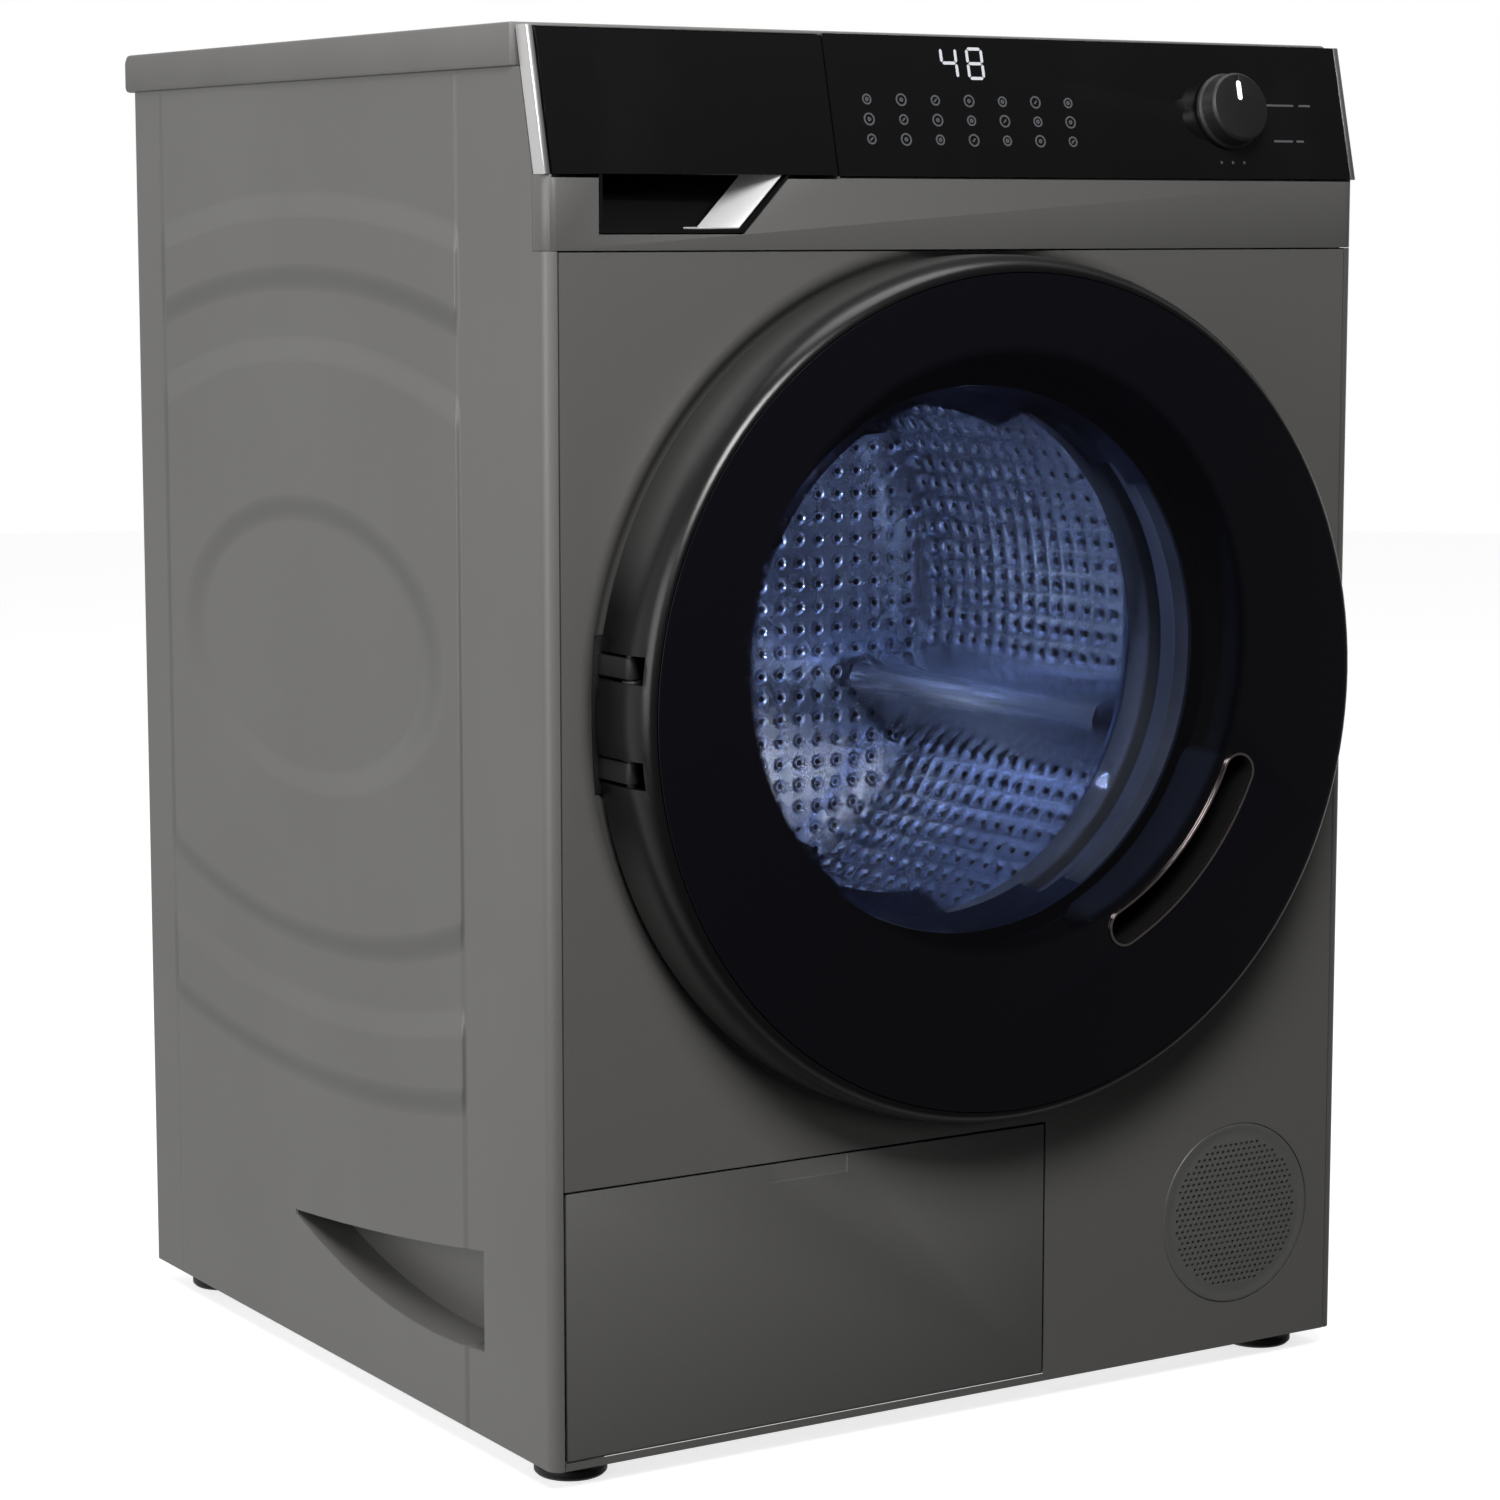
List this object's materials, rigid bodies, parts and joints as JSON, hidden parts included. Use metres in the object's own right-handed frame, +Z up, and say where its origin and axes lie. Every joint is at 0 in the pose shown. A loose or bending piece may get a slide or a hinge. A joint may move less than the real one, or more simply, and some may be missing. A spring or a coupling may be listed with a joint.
{
  "type": "front load washing machine",
  "caption": "Freestanding grey front load washing machine with a round black glass door, leaning black control panel, detergent drawer and bottom filter flap.",
  "frame": {"origin": "on the floor under the middle of the machine's bounding box", "axes": "+Z up, the door and controls face -Y, +X is the machine's right as one stands in front of it"},
  "size_m": [0.595, 0.643, 0.85],
  "materials": {
    "body_paint": "satin grey metallic paint on sheet steel",
    "front_paint": "satin grey metallic paint on sheet steel",
    "zinc_steel": "zinc coated sheet steel",
    "worktop_board": "chipboard faced with grey laminate",
    "grey_plastic": "painted ABS, satin grey",
    "black_gloss": "high gloss black",
    "black_glass": "smoke tinted, polished",
    "clear_bowl": "clear moulded glass",
    "silver_trim": "satin chrome",
    "black_plastic": "moulded black",
    "white_plastic": "moulded natural polypropylene",
    "tub_plastic": "glass filled polypropylene",
    "blue_plastic": "moulded blue",
    "stainless": "brushed stainless steel",
    "cast_alloy": "as cast",
    "bearing_steel": "ground",
    "concrete": "cast concrete",
    "grey_rubber": "moulded EPDM, satin",
    "black_rubber": "moulded rubber",
    "circuit_board": "solder mask green",
    "spring_steel": "oiled spring wire"
  },
  "bodies": {
    "cabinet": {"base_pan": "zinc_steel", "left_side_panel": "body_paint", "right_side_panel": "body_paint", "rear_panel": "body_paint", "rear_cover": "body_paint", "transit_caps": "grey_plastic", "front_panel": "front_paint", "vent_grille": "grey_plastic", "frame_braces": "zinc_steel", "worktop": "worktop_board", "fascia_housing": "grey_plastic", "end_trims": "silver_trim", "control_glass": "black_gloss", "display_board": "circuit_board", "inverter_box": "black_plastic", "dispenser_housing": "white_plastic", "inlet_valve": "white_plastic", "power_gland": "black_plastic", "pump_housing": "white_plastic", "drain_hose": "black_rubber", "hinge_bracket": "zinc_steel", "door_lock": "black_plastic", "flap_brackets": "zinc_steel", "damper_cylinders": "black_plastic", "gasket": "grey_rubber"},
    "tub": {"tub_front": "tub_plastic", "tub_rear": "tub_plastic", "front_counterweight": "concrete", "top_counterweight": "concrete", "drum_bearings": "bearing_steel", "heater": "stainless", "motor_body": "cast_alloy", "drive_belt": "black_rubber", "damper_rods": "bearing_steel", "suspension_springs": "spring_steel", "tub_hoses": "grey_rubber"},
    "drum": {"drum_shell": "stainless", "drum_back": "stainless", "lifters": "stainless", "drum_spider": "cast_alloy", "drum_pulley": "cast_alloy"},
    "motor_rotor": {"motor_pulley": "bearing_steel"},
    "door": {"door_bezel": "black_gloss", "door_glass": "black_glass", "door_inner_frame": "black_plastic", "door_bowl": "clear_bowl", "hinge_arm": "zinc_steel", "handle_trim": "silver_trim"},
    "door_latch": {"latch_hook": "bearing_steel"},
    "drawer": {"drawer_front": "black_gloss", "drawer_tray": "white_plastic", "siphon_cap": "blue_plastic"},
    "knob": {"program_knob": "black_gloss"},
    "flap": {"service_flap": "grey_plastic"},
    "filter": {"filter_cap": "black_plastic"},
    "pump_rotor": {"pump_impeller": "white_plastic"},
    "foot_fl": {"foot_front_left": "black_plastic"},
    "foot_fr": {"foot_front_right": "black_plastic"},
    "foot_rl": {"foot_rear_left": "black_plastic"},
    "foot_rr": {"foot_rear_right": "black_plastic"}
  },
  "joints": [
    {"name": "door_hinge", "type": "hinge", "parent": "cabinet", "child": "door", "pos_m": [-0.254, -0.295, 0.457], "axis": [0, 0, -1], "range_deg": [0, 150]},
    {"name": "latch_pivot", "type": "hinge", "parent": "door", "child": "door_latch", "pos_m": [0.225, -0.285, 0.457], "axis": [0, 0, 1], "range_deg": [0, 8], "stiffness_Nm_per_rad": 0.4, "springref_deg": -2.86},
    {"name": "drawer_slide", "type": "slide", "parent": "cabinet", "child": "drawer", "axis": [0, -1, 0], "range_m": [0, 0.2]},
    {"name": "knob_turn", "type": "hinge", "parent": "cabinet", "child": "knob", "pos_m": [0.197, -0.26116, 0.80583], "axis": [0, -0.9722, 0.2343], "continuous": true},
    {"name": "tub_bounce", "type": "slide", "parent": "cabinet", "child": "tub", "axis": [0, 0, 1], "range_m": [-0.008, 0.008], "stiffness_N_per_m": 20000, "springref_m": 0.0201, "deforming": ["suspension_springs", "tub_hoses", "gasket"]},
    {"name": "drum_spin", "type": "hinge", "parent": "tub", "child": "drum", "pos_m": [0, 0, 0.474], "axis": [0, 1, 0], "continuous": true},
    {"name": "motor_spin", "type": "hinge", "parent": "tub", "child": "motor_rotor", "pos_m": [0.07, 0.15, 0.12], "axis": [0, 1, 0], "continuous": true},
    {"name": "flap_hinge", "type": "hinge", "parent": "cabinet", "child": "flap", "pos_m": [0, -0.264, 0.027], "axis": [1, 0, 0], "range_deg": [0, 88]},
    {"name": "filter_turn", "type": "hinge", "parent": "cabinet", "child": "filter", "pos_m": [-0.12, -0.237, 0.08], "axis": [0, -1, 0], "range_deg": [-90, 0]},
    {"name": "impeller_spin", "type": "hinge", "parent": "cabinet", "child": "pump_rotor", "pos_m": [-0.12, -0.137, 0.08], "axis": [0, 1, 0], "continuous": true},
    {"name": "foot_fl_turn", "type": "hinge", "parent": "cabinet", "child": "foot_fl", "pos_m": [-0.262, -0.233, 0.02], "axis": [0, 0, 1], "continuous": true},
    {"name": "foot_fr_turn", "type": "hinge", "parent": "cabinet", "child": "foot_fr", "pos_m": [0.262, -0.233, 0.02], "axis": [0, 0, 1], "continuous": true},
    {"name": "foot_rl_turn", "type": "hinge", "parent": "cabinet", "child": "foot_rl", "pos_m": [-0.262, 0.261, 0.02], "axis": [0, 0, 1], "continuous": true},
    {"name": "foot_rr_turn", "type": "hinge", "parent": "cabinet", "child": "foot_rr", "pos_m": [0.262, 0.261, 0.02], "axis": [0, 0, 1], "continuous": true}
  ],
  "couplings": [
    {"joint": "motor_spin", "follows": "drum_spin", "ratio": 13.182}
  ]
}
